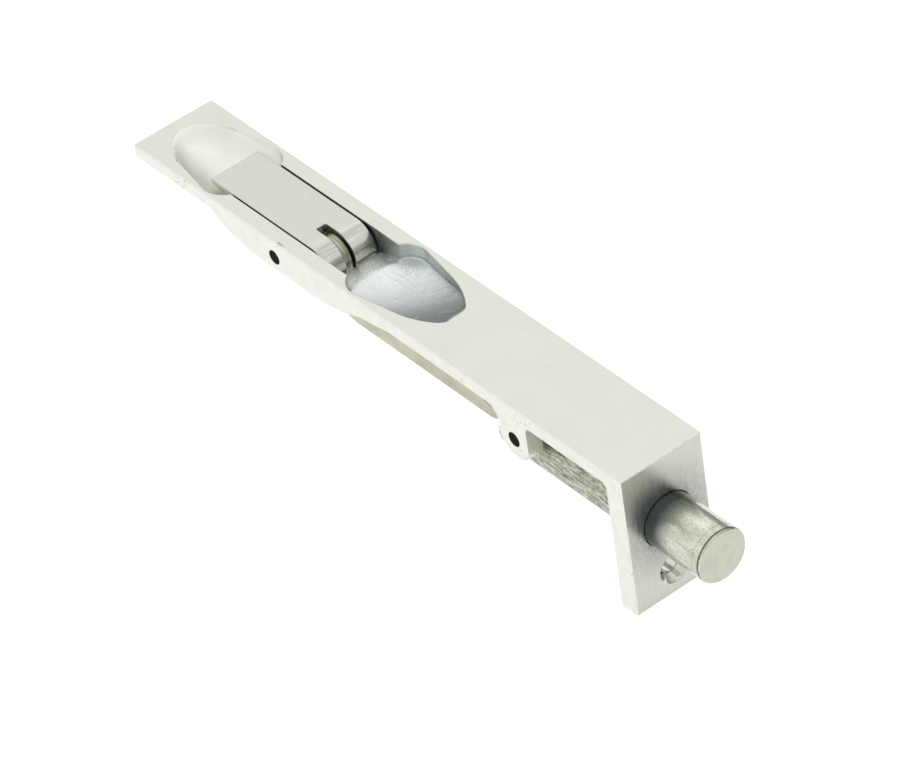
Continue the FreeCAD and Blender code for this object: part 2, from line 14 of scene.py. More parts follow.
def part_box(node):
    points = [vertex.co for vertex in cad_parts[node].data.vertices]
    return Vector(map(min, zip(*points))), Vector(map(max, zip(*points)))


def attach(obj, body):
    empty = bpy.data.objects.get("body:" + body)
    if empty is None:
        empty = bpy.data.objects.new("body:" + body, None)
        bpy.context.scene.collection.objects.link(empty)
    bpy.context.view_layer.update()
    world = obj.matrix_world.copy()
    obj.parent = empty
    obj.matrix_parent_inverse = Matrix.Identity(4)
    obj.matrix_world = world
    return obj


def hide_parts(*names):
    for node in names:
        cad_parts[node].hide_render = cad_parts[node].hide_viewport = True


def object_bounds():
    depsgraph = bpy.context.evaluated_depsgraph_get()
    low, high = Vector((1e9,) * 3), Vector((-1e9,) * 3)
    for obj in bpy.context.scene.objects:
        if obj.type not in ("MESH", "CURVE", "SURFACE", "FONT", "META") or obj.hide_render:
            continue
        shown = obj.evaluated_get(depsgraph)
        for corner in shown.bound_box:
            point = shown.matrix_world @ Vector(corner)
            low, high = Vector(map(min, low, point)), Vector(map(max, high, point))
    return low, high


bl_info = {
    "name": "Flush bolt finishes",
    "version": (1, 0, 0),
    "blender": (4, 5, 0),
    "location": "View3D > Sidebar > Flush Bolt",
    "description": "Satin chrome casting, lever, link and turned bolt on a packed frame",
    "category": "Object",
}

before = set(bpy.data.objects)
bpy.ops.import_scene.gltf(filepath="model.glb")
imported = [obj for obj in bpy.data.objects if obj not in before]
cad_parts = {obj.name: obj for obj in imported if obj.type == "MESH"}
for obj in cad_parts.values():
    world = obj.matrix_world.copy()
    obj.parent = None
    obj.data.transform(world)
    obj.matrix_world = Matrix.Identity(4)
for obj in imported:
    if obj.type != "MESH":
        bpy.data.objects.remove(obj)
CAD_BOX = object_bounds()
MM = 0.001
WELD = 1e-6
FLAT_ANGLE = math.radians(0.3)
SHARP_ANGLE = math.radians(30.0)
CORNER_ANGLE = 0.5


# ------------------------------------------------------------- places in the frame
def centre(node):
    """The middle of a CAD node's box."""
    low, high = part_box(node)
    return (low + high) / 2


CASTING_LOW, CASTING_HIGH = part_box("body_casting")
LEVER_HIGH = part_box("lever")[1]
BOLT_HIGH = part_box("bolt_rod")[1]
PIVOT = centre("lever_pivot_pin")
CRANK = centre("lever_link_pin")
GUIDE = centre("guide_pin")
FACE_Z = CASTING_HIGH.z

# where the casting's finishes meet
PIN_HOLE_RADIUS = 1.65 * MM
COUNTERSINK_BACK = -4.6 * MM
COUNTERSINK_HALF = 3.7 * MM
COUNTERSINK_TOP = -8 * MM
COUNTERSINK_BOTTOM = CASTING_LOW.z + 1 * MM
HOLLOW_HALF = CASTING_HIGH.y - 0.6 * MM
HOLLOW_BOTTOM = FACE_Z - 6.5 * MM
FAR_SCOOP_END = PIVOT.x - 17.6 * MM
NEAR_SCOOP_END = -55 * MM

# the housing's stretch whose lower edges carry the parting flash
HOUSING_FROM, HOUSING_TO = -124 * MM, -76 * MM
HOUSING_TOP = FACE_Z - 3.2 * MM
OFF_HOLE = 2 * MM

# the small dent beside the lever's pivot, shown only as a dark mark in the colour: painted shade
DENT = Vector((PIVOT.x + 2.2 * MM, CASTING_LOW.y + 0.55 * MM, FACE_Z))
DENT_LONG, DENT_WIDE = 1.5 * MM, 0.3 * MM


# ------------------------------------------------------------------------ settings
class FlushBoltSizes(bpy.types.PropertyGroup):
    """Sizes of the finish: softened edges and parting flash."""

    edge_soft: bpy.props.FloatProperty(
        name="Edge softening", description="Width of the polished rounding on cut edges",
        default=0.16 * MM, min=0.0, unit="LENGTH", precision=5)
    bolt_edge_soft: bpy.props.FloatProperty(
        name="Bolt edge softening", description="Width of the rounding on the bolt's edges",
        default=0.12 * MM, min=0.0, unit="LENGTH", precision=5)
    lever_edge_soft: bpy.props.FloatProperty(
        name="Lever edge softening", description="Width of the rounding on the lever's edges",
        default=0.22 * MM, min=0.0, unit="LENGTH", precision=5)
    link_edge_soft: bpy.props.FloatProperty(
        name="Link edge softening", description="Width of the rounding on the link's edges",
        default=0.25 * MM, min=0.0, unit="LENGTH", precision=5)
    flash_spacing: bpy.props.FloatProperty(
        name="Flash spacing", description="Distance between specks of parting flash",
        default=0.45 * MM, min=0.05 * MM, unit="LENGTH", precision=5)
    flash_size: bpy.props.FloatProperty(
        name="Flash size", description="Largest radius of a speck of parting flash",
        default=0.22 * MM, min=0.0, unit="LENGTH", precision=5)


class FlushBoltColours(bpy.types.PropertyGroup):
    """Base colours of the metals."""

    plate: bpy.props.FloatVectorProperty(
        name="Plated casting", description="Satin chrome on the casting", subtype="COLOR",
        default=(0.61, 0.62, 0.56), min=0.0, max=1.0)
    skin: bpy.props.FloatVectorProperty(
        name="Casting skin", description="Chrome where no belt has been", subtype="COLOR",
        default=(0.755, 0.765, 0.71), min=0.0, max=1.0)
    scoop: bpy.props.FloatVectorProperty(
        name="Scoop", description="Unbrushed chrome in the finger scoops", subtype="COLOR",
        default=(0.60, 0.635, 0.62), min=0.0, max=1.0)
    lever: bpy.props.FloatVectorProperty(
        name="Lever", description="Satin chrome on the lever", subtype="COLOR",
        default=(0.57, 0.585, 0.52), min=0.0, max=1.0)
    steel: bpy.props.FloatVectorProperty(
        name="Bolt steel", description="Turned steel of the bolt's nose", subtype="COLOR",
        default=(0.61, 0.62, 0.53), min=0.0, max=1.0)
    rough_steel: bpy.props.FloatVectorProperty(
        name="Rough steel", description="Unturned steel of the bolt's shank", subtype="COLOR",
        default=(0.40, 0.42, 0.345), min=0.0, max=1.0)
    link: bpy.props.FloatVectorProperty(
        name="Link steel", description="Bare strip steel of the link", subtype="COLOR",
        default=(0.50, 0.49, 0.38), min=0.0, max=1.0)


class FlushBoltStage(bpy.types.PropertyGroup):
    """Camera, floor and lights."""

    target: bpy.props.FloatVectorProperty(
        name="Camera target", description="Point that the camera looks at", subtype="TRANSLATION",
        unit="LENGTH", default=(-66.0 * MM, 0.0, -4.0 * MM))
    azimuth: bpy.props.FloatProperty(
        name="Azimuth", description="Direction of the camera round the object",
        default=math.radians(56.67), subtype="ANGLE")
    elevation: bpy.props.FloatProperty(
        name="Elevation", description="Height of the camera above the horizon",
        default=math.radians(39.65), subtype="ANGLE")
    roll: bpy.props.FloatProperty(
        name="Roll", description="Tilt of the camera about its own axis",
        default=math.radians(-9.14), subtype="ANGLE")
    distance: bpy.props.FloatProperty(
        name="Distance", description="Distance from the camera to its target",
        default=1104.6 * MM, min=0.1, unit="LENGTH")
    lens: bpy.props.FloatProperty(
        name="Lens", description="Focal length in millimetres on a 36 mm sensor",
        default=226.2, min=20.0)
    floor_glow: bpy.props.FloatProperty(
        name="Floor glow", description="Light that the floor gives off, so that it stays pale",
        default=0.85, min=0.0)
    sky_glow: bpy.props.FloatProperty(
        name="Sky glow", description="Brightness of the room overhead", default=1.07, min=0.0)
    horizon_glow: bpy.props.FloatProperty(
        name="Horizon glow", description="Brightness of the room at eye level",
        default=0.35, min=0.0)
    floor_drop: bpy.props.FloatProperty(
        name="Floor drop", description="Gap between the object's lowest point and the floor",
        default=6.0 * MM, min=0.0, unit="LENGTH")


# ------------------------------------------------------------------- mesh helpers
def link_object(name, mesh):
    """A new object in the scene for a mesh."""
    thing = bpy.data.objects.new(name, mesh)
    bpy.context.scene.collection.objects.link(thing)
    return thing


def clean_copy(node, name):
    """A copy of a CAD node's mesh as a new object: welded, with its flats in one piece."""
    thing = link_object(name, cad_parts[node].data.copy())
    mesh = thing.data
    mesh.name = name
    if "custom_normal" in mesh.attributes:
        mesh.attributes.remove(mesh.attributes["custom_normal"])
    grid = bmesh.new()
    grid.from_mesh(mesh)
    bmesh.ops.remove_doubles(grid, verts=grid.verts, dist=WELD)
    bmesh.ops.dissolve_limit(grid, angle_limit=FLAT_ANGLE, verts=grid.verts, edges=grid.edges)
    for edge in grid.edges:
        edge.smooth = True
    grid.to_mesh(mesh)
    grid.free()
    mesh.materials.clear()
    return thing


def apply_modifiers(thing):
    """Replace an object's mesh with what its modifiers make of it."""
    bpy.context.view_layer.update()
    graph = bpy.context.evaluated_depsgraph_get()
    finished = bpy.data.meshes.new_from_object(thing.evaluated_get(graph), depsgraph=graph)
    finished.name = thing.data.name
    thing.modifiers.clear()
    thing.data = finished


def soften_edges(thing, width):
    """Round every sharp edge, shade the mesh smooth, and keep it in its old outer box."""
    spans = [[vertex.co[axis] for vertex in thing.data.vertices] for axis in range(3)]
    limits = [(min(span), max(span)) for span in spans]
    bevel = thing.modifiers.new("Softened edges", "BEVEL")
    bevel.width = width
    bevel.segments = 2
    bevel.limit_method = "ANGLE"
    bevel.angle_limit = SHARP_ANGLE
    bevel.use_clamp_overlap = False
    bevel.miter_outer = "MITER_ARC"
    thing.data.shade_smooth()
    weights = thing.modifiers.new("Flat faces stay flat", "WEIGHTED_NORMAL")
    weights.weight = 60
    weights.keep_sharp = True
    apply_modifiers(thing)
    for vertex in thing.data.vertices:
        vertex.co = [min(max(value, low), high)
                     for value, (low, high) in zip(vertex.co, limits)]


def settle(thing, body, slot, *replaced):
    """Tie a finished piece to its body and hide the nodes it stands for; the slot is not used."""
    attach(thing, body)
    if replaced:
        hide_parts(*replaced)


# --------------------------------------------------------------- shader building
class Wiring:
    """Short names for making and joining nodes in one tree."""

    def __init__(self, tree):
        self.tree = tree
        self.nodes = tree.nodes
        self.links = tree.links

    def add(self, kind, **values):
        node = self.nodes.new(kind)
        for key, value in values.items():
            setattr(node, key, value)
        return node

    def feed(self, socket, source):
        if isinstance(source, bpy.types.NodeSocket):
            self.links.new(source, socket)
        elif source is not None:
            socket.default_value = source

    def math(self, operation, first, second=None):
        node = self.add("ShaderNodeMath", operation=operation)
        self.feed(node.inputs[0], first)
        self.feed(node.inputs[1], second)
        return node.outputs[0]

    def vector(self, operation, first, second=None):
        """Vector maths, which for a length or a dot product gives a number."""
        node = self.add("ShaderNodeVectorMath", operation=operation)
        self.feed(node.inputs[0], first)
        self.feed(node.inputs[1], second)
        return node.outputs["Value" if operation in ("LENGTH", "DOT_PRODUCT") else "Vector"]

    def scaled(self, vector, scale):
        return self.vector("MULTIPLY", vector, scale)

    def split(self, vector):
        """The three parts of a vector, as outputs X, Y and Z."""
        node = self.add("ShaderNodeSeparateXYZ")
        self.feed(node.inputs[0], vector)
        return node.outputs

    def noise(self, vector, scale, detail=3.0, roughness=0.5):
        node = self.add("ShaderNodeTexNoise")
        self.feed(node.inputs["Vector"], vector)
        node.inputs["Scale"].default_value = scale
        node.inputs["Detail"].default_value = detail
        node.inputs["Roughness"].default_value = roughness
        return node.outputs["Fac"]

    def cells(self, vector, scale):
        node = self.add("ShaderNodeTexVoronoi")
        self.feed(node.inputs["Vector"], vector)
        node.inputs["Scale"].default_value = scale
        return node.outputs["Distance"]

    def between(self, value, low, high, out_low=0.0, out_high=1.0):
        """A value's place between two bounds, clamped; the bounds may run downwards."""
        node = self.add("ShaderNodeMapRange")
        node.clamp = True
        for name, source in (("Value", value), ("From Min", low), ("From Max", high),
                             ("To Min", out_low), ("To Max", out_high)):
            self.feed(node.inputs[name], source)
        return node.outputs["Result"]

    def mix(self, factor, first, second):
        """A colour between two others; the factor is clamped."""
        node = self.add("ShaderNodeMix", data_type="RGBA")
        self.feed(node.inputs["Factor"], factor)
        self.feed(node.inputs["A"], first)
        self.feed(node.inputs["B"], second)
        return node.outputs["Result"]

    def cover(self, base, mask, strength, colour):
        """A colour laid over another where a mask says, at some strength."""
        return self.mix(self.math("MULTIPLY", mask, strength), base, colour)

    def place(self, name):
        return self.add("ShaderNodeTexCoord").outputs[name]


def shader_group(name, inputs, outputs):
    """A new node group with named sockets; returns its wiring and both ends."""
    tree = bpy.data.node_groups.new(name, "ShaderNodeTree")
    for label, (kind, value) in inputs.items():
        socket = tree.interface.new_socket(label, in_out="INPUT", socket_type=kind)
        if value is not None:
            socket.default_value = value
    for label, kind in outputs.items():
        tree.interface.new_socket(label, in_out="OUTPUT", socket_type=kind)
    wiring = Wiring(tree)
    start = wiring.add("NodeGroupInput")
    end = wiring.add("NodeGroupOutput")
    return wiring, start, end


FLOAT, VECTOR = "NodeSocketFloat", "NodeSocketVector"


def brush_grain_group():
    """Fine parallel scratches from an abrasive belt, drawn out along one direction."""
    inputs = {
        "Position": (VECTOR, None),
        "Stretch": (VECTOR, (40.0, 2600.0, 2600.0)),
        "Contrast": (FLOAT, 1.0),
    }
    w, start, end = shader_group("Brush grain", inputs, {"Height": FLOAT, "Shade": FLOAT})
    drawn = w.scaled(start.outputs["Position"], start.outputs["Stretch"])
    fine = w.noise(drawn, 1.0, detail=4.0, roughness=0.7)
    broad = w.noise(w.scaled(drawn, (0.35, 0.12, 0.12)), 1.0, detail=2.0)
    height = w.math("ADD", w.math("MULTIPLY", fine, 0.75), w.math("MULTIPLY", broad, 0.25))
    spread = w.math("MULTIPLY", w.math("SUBTRACT", height, 0.5), start.outputs["Contrast"])
    w.feed(end.inputs["Height"], height)
    w.feed(end.inputs["Shade"], spread)
    return w.tree


def cast_skin_group():
    """The slightly lumpy, pitted skin that a die casting keeps under its plating."""
    inputs = {
        "Position": (VECTOR, None),
        "Grain": (FLOAT, 1400.0),
        "Pits": (FLOAT, 0.5),
    }
    w, start, end = shader_group("Cast skin", inputs, {"Height": FLOAT, "Pit mask": FLOAT})
    position = start.outputs["Position"]
    grain = w.scaled(position, start.outputs["Grain"])
    lumps = w.noise(w.scaled(grain, (0.22, 0.22, 0.22)), 1.0, detail=3.0)
    fine = w.noise(grain, 1.0, detail=3.0, roughness=0.6)
    cells = w.cells(w.scaled(grain, (0.5, 0.5, 0.5)), 1.0)
    where = w.noise(w.scaled(grain, (0.08, 0.08, 0.08)), 1.0, detail=1.0)
    room = w.between(where, 0.52, 0.68)
    pits = w.math("MULTIPLY", w.between(cells, 0.22, 0.10), room)
    pits = w.math("MULTIPLY", pits, start.outputs["Pits"])
    height = w.math("ADD", w.math("MULTIPLY", lumps, 0.7), w.math("MULTIPLY", fine, 0.3))
    w.feed(end.inputs["Height"], w.math("SUBTRACT", height, w.math("MULTIPLY", pits, 0.6)))
    w.feed(end.inputs["Pit mask"], pits)
    return w.tree


def painted_shade_group():
    """Painted shade that gathers in corners, mottled; 1 in a crevice, 0 in the open."""
    inputs = {"Reach": (FLOAT, 1.2 * MM), "Position": (VECTOR, None)}
    w, start, end = shader_group("Painted corner shade", inputs, {"Mask": FLOAT})
    crevice = w.add("ShaderNodeAmbientOcclusion", samples=8)
    w.feed(crevice.inputs["Distance"], start.outputs["Reach"])
    mottle = w.noise(start.outputs["Position"], 900.0, detail=3.0)
    shade = w.math("SUBTRACT", 1.0, crevice.outputs["AO"])
    w.feed(end.inputs["Mask"], w.math("MULTIPLY", shade, w.between(mottle, 0.3, 0.7, 0.5, 1.0)))
    return w.tree


def groups():
    """The shared effects, each made once."""
    if "Brush grain" not in bpy.data.node_groups:
        brush_grain_group()
        cast_skin_group()
        painted_shade_group()
    return bpy.data.node_groups


class Finish(Wiring):
    """One material with a Principled shader, ready to be wired."""

    def __init__(self, name, roughness, metallic=1.0):
        self.material = bpy.data.materials.new(name)
        self.material.use_nodes = True
        super().__init__(self.material.node_tree)
        self.shader = self.nodes["Principled BSDF"]
        self.shader.inputs["Metallic"].default_value = metallic
        self.shader.inputs["Roughness"].default_value = roughness
        self.position = self.place("Object")

    def group(self, name, **values):
        """Outputs of one of the shared effects."""
        node = self.add("ShaderNodeGroup", node_tree=groups()[name])
        for label, value in values.items():
            self.feed(node.inputs[label.replace("_", " ")], value)
        return node.outputs

    def set(self, name, source):
        """Wire one of the shader's own sockets."""
        self.feed(self.shader.inputs[name], source)

    def bump(self, height, distance, rounding=0.0):
        """Turn a height into the shader's normal, over edges rounded by some radius."""
        node = self.add("ShaderNodeBump")
        node.inputs["Distance"].default_value = distance
        self.feed(node.inputs["Height"], height)
        if rounding:
            rim = self.add("ShaderNodeBevel", samples=6)
            rim.inputs["Radius"].default_value = rounding
            self.feed(node.inputs["Normal"], rim.outputs["Normal"])
        self.set("Normal", node.outputs["Normal"])


def tint(colour, factor=1.0):
    """A colour made lighter or darker, with its alpha."""
    return tuple(min(1.0, channel * factor) for channel in colour) + (1.0,)


def brushed_plate(name, colour, stretch, contrast, reach=1.0 * MM, shade=0.3):
    """Satin chrome, brushed along one direction, with painted shade where other metal stands
    close.
    """
    f = Finish(name, roughness=0.30)
    grain = f.group("Brush grain", Position=f.position, Stretch=stretch, Contrast=contrast)
    cloud = f.noise(f.position, 120.0, detail=3.0)
    lift = f.math("ADD", grain["Shade"], f.between(cloud, 0.2, 0.8, 0.40, 0.60))
    painted_shade = f.group("Painted corner shade", Position=f.position, Reach=reach)
    base = f.mix(lift, tint(colour, 0.84), tint(colour, 1.16))
    # painted shade: darker in corners and where other metal stands close
    base = f.cover(base, painted_shade["Mask"], shade, (0.10, 0.11, 0.115, 1.0))
    from_dent = f.vector("SUBTRACT", f.position, DENT)
    across = f.vector("LENGTH", f.scaled(from_dent, (1 / DENT_LONG, 1 / DENT_WIDE, 0.0)))
    # painted shade of the dent: a dark mark, not a shape
    dent = f.between(f.math("ADD", across, f.math("MULTIPLY", cloud, 0.8)), 1.3, 0.7)
    f.set("Base Color", f.cover(base, dent, 0.7, tint(colour, 0.25)))
    f.set("Roughness", f.between(grain["Height"], 0.3, 0.7, 0.22, 0.40))
    f.bump(grain["Height"], 0.03 * MM)
    return f.material


def cast_plate(name, colour):
    """Chrome over the casting's own skin, where no belt has been."""
    f = Finish(name, roughness=0.42)
    skin = f.group("Cast skin", Position=f.position, Grain=1900.0, Pits=0.9)
    painted_shade = f.group("Painted corner shade", Position=f.position)
    base = f.mix(f.between(skin["Height"], 0.2, 0.7), tint(colour, 0.94), tint(colour, 1.06))
    base = f.mix(skin["Pit mask"], base, (0.30, 0.30, 0.27, 1.0))
    # painted shade in corners
    f.set("Base Color", f.cover(base, painted_shade["Mask"], 0.5, (0.33, 0.32, 0.29, 1.0)))
    f.set("Roughness", f.between(skin["Height"], 0.2, 0.8, 0.50, 0.36))
    f.bump(skin["Height"], 0.14 * MM)
    return f.material


def scoop_plate(name, colour):
    """Bright chrome in the near scoop and the pocket, with painted shade by the lever's hub and
    toward the tip, and painted light in the well.
    """
    f = Finish(name, roughness=0.24)
    skin = f.group("Cast skin", Position=f.position, Grain=3400.0, Pits=1.0)
    painted_shade = f.group("Painted corner shade", Position=f.position, Reach=1.1 * MM)
    place = f.split(f.position)
    far_side = f.between(place["Y"], 1.0 * MM, 6.5 * MM, 0.0, 0.14)
    patches = f.math("ADD", f.noise(f.position, 420.0, detail=3.0), far_side)
    rough = f.between(patches, 0.56, 0.72)
    scratch = f.noise(f.scaled(f.position, (260.0, 2400.0, 2400.0)), 1.0, detail=2.0)
    speck = f.between(f.noise(f.position, 3400.0, detail=2.0), 0.45, 0.65)
    # painted shade: darker blue-grey toward the scoop's tip
    tip = f.between(place["X"], CRANK.x + 16.0 * MM, CRANK.x + 30.0 * MM)
    base = f.mix(f.between(scratch, 0.35, 0.7), tint(colour, 0.94), tint(colour, 1.06))
    base = f.cover(base, rough, speck, tint(colour, 1.4))
    base = f.cover(base, tip, 0.6, (0.31, 0.345, 0.35, 1.0))
    # painted light: the well by the hub is painted lighter, with bright specks; it is also
    # rougher
    well = f.between(place["X"], CRANK.x + 13.5 * MM, CRANK.x + 11.0 * MM)
    base = f.mix(well, base, f.mix(speck, tint(colour, 1.05), tint(colour, 1.45)))
    # painted shade in corners
    base = f.cover(base, painted_shade["Mask"], 0.6, tint(colour, 0.35))
    # painted shade: the pocket's wall by the lever's hub is painted dark
    at_wall = f.between(f.math("ABSOLUTE", place["Y"]), LEVER_HIGH.y, LEVER_HIGH.y + 0.2 * MM)
    by_hub = f.between(place["X"], LEVER_HIGH.x + 9.0 * MM, LEVER_HIGH.x + 1.0 * MM)
    beside = f.math("MULTIPLY", at_wall, by_hub)
    f.set("Base Color", f.cover(base, beside, 0.85, (0.07, 0.08, 0.085, 1.0)))
    f.set("Roughness", f.math("ADD", f.between(rough, 0.0, 1.0, 0.24, 0.36),
                              f.math("MULTIPLY", well, 0.2)))
    height = f.math("MULTIPLY", skin["Height"], f.between(rough, 0.0, 1.0, 0.15, 0.7))
    f.bump(height, 0.08 * MM, rounding=0.9 * MM)
    return f.material


def soft_scoop(name, colour):
    """The far scoop: polished over, so that its rim melts into the face."""
    f = Finish(name, roughness=0.40)
    grain = f.group("Brush grain", Position=f.position,
                    Stretch=(90.0, 1500.0, 1500.0), Contrast=0.6)
    cloud = f.noise(f.position, 150.0, detail=3.0)
    lift = f.math("ADD", grain["Shade"], f.between(cloud, 0.3, 0.7, 0.35, 0.75))
    f.set("Base Color", f.mix(lift, tint(colour, 1.02), tint(colour, 1.30)))
    f.bump(grain["Height"], 0.03 * MM, rounding=1.4 * MM)
    return f.material


def plain_metal(name, colour, roughness):
    """Bare metal with a faint mottle, for pins and hole walls."""
    f = Finish(name, roughness=roughness)
    skin = f.group("Cast skin", Position=f.position, Grain=2200.0, Pits=0.3)
    f.set("Base Color", f.mix(skin["Height"], tint(colour, 0.85), tint(colour, 1.1)))
    f.set("Roughness", f.between(skin["Height"], 0.2, 0.8, roughness - 0.05, roughness + 0.08))
    f.bump(skin["Height"], 0.02 * MM)
    return f.material


# ----------------------------------------------------------------------- operators
class FLUSHBOLT_OT_casting(bpy.types.Operator):
    """Finish the casting: softened edges, brushed faces, bright scoops, cast sides"""

    bl_idname = "flushbolt.casting"
    bl_label = "Casting"

    def execute(self, context):
        sizes = context.scene.flush_bolt_sizes
        colours = context.scene.flush_bolt_colours
        casting = clean_copy("body_casting", "plated_casting")
        materials = [
            brushed_plate("Face, brushed lengthwise", colours.plate,
                          (70.0, 1500.0, 1500.0), contrast=1.1),
            # painted shade: a darker tint and a long, strong reach paint the end plate darker,
            # most round the bolt
            brushed_plate("End plate, brushed upright", tint(colours.plate, 0.93)[:3],
                          (1800.0, 1800.0, 80.0), contrast=1.3, reach=9.0 * MM, shade=1.9),
            cast_plate("Casting skin", colours.skin),
            scoop_plate("Near scoop and pocket", colours.scoop),
            plain_metal("Countersinks", colours.plate, 0.16),
            # painted shade: the pin holes' walls are painted near black
            plain_metal("Pin holes", (0.10, 0.10, 0.09), 0.5),
            soft_scoop("Far scoop", colours.plate),
        ]
        for material in materials:
            casting.data.materials.append(material)
        for face in casting.data.polygons:
            face.material_index = self.finish_of(face)
        soften_edges(casting, sizes.edge_soft)
        settle(casting, "case", "satin_casting", "body_casting")
        return {"FINISHED"}

    @staticmethod
    def finish_of(face):
        """Which of the seven finishes a face of the casting gets."""
        at, way = face.center, face.normal
        if way.z > 0.99 and at.z > FACE_Z - 0.02 * MM:
            return 0
        if way.x > 0.99 and at.x > -0.02 * MM:
            return 1
        from_pivot = math.hypot(at.x - PIVOT.x, at.z - PIVOT.z)
        from_guide = math.hypot(at.x - GUIDE.x, at.z - GUIDE.z)
        if min(from_pivot, from_guide) < PIN_HOLE_RADIUS and abs(way.y) < 0.1:
            return 5
        if (COUNTERSINK_BACK < at.x < -0.01 * MM and abs(at.y) < COUNTERSINK_HALF
                and COUNTERSINK_BOTTOM < at.z < COUNTERSINK_TOP and abs(way.z) > 0.01):
            return 4
        hollow = abs(at.y) < HOLLOW_HALF and at.z > HOLLOW_BOTTOM and way.z > -0.05
        if hollow and at.x < FAR_SCOOP_END:
            return 6
        if hollow and at.x < NEAR_SCOOP_END:
            return 3
        return 2


class FLUSHBOLT_OT_lever(bpy.types.Operator):
    """Finish the lever: satin arm, polished hub"""

    bl_idname = "flushbolt.lever"
    bl_label = "Lever"

    def execute(self, context):
        sizes = context.scene.flush_bolt_sizes
        colours = context.scene.flush_bolt_colours
        lever = clean_copy("lever", "satin_lever")
        lever.data.materials.append(self.satin(colours.lever))
        soften_edges(lever, sizes.lever_edge_soft)
        settle(lever, "lever", "satin_lever", "lever")
        return {"FINISHED"}

    @staticmethod
    def satin(colour):
        """Lengthwise satin that gives way to a polished hub, with painted light and dark
        reflection bands on it and painted shade in corners.
        """
        f = Finish("Lever satin", roughness=0.34)
        grain = f.group("Brush grain", Position=f.position,
                        Stretch=(90.0, 2600.0, 2600.0), Contrast=0.6)
        hub = f.between(f.split(f.position)["X"], CRANK.x - 1 * MM, CRANK.x + 3 * MM)
        cloud = f.noise(f.position, 260.0, detail=4.0)
        lift = f.math("ADD", grain["Shade"], f.between(cloud, 0.3, 0.7, 0.3, 0.7))
        # the hub is polished, so it is less rough; its light and dark bands along the hub are
        # painted reflection
        hub_streaks = f.noise(f.scaled(f.position, (1100.0, 70.0, 1100.0)), 1.0, detail=2.0)
        polish_and_reflection = f.math("MULTIPLY", f.between(hub_streaks, 0.35, 0.65, -0.9, 0.9), hub)
        lift = f.math("ADD", lift, polish_and_reflection)
        painted_shade = f.group("Painted corner shade", Position=f.position, Reach=1.5 * MM)
        base = f.mix(lift, tint(colour, 0.86), tint(colour, 1.12))
        # painted shade in corners
        f.set("Base Color", f.cover(base, painted_shade["Mask"], 0.6, tint(colour, 0.3)))
        f.set("Roughness", f.math("SUBTRACT", f.between(cloud, 0.3, 0.7, 0.30, 0.40),
                                  f.math("MULTIPLY", hub, 0.18)))
        f.bump(grain["Height"], 0.02 * MM)
        return f.material


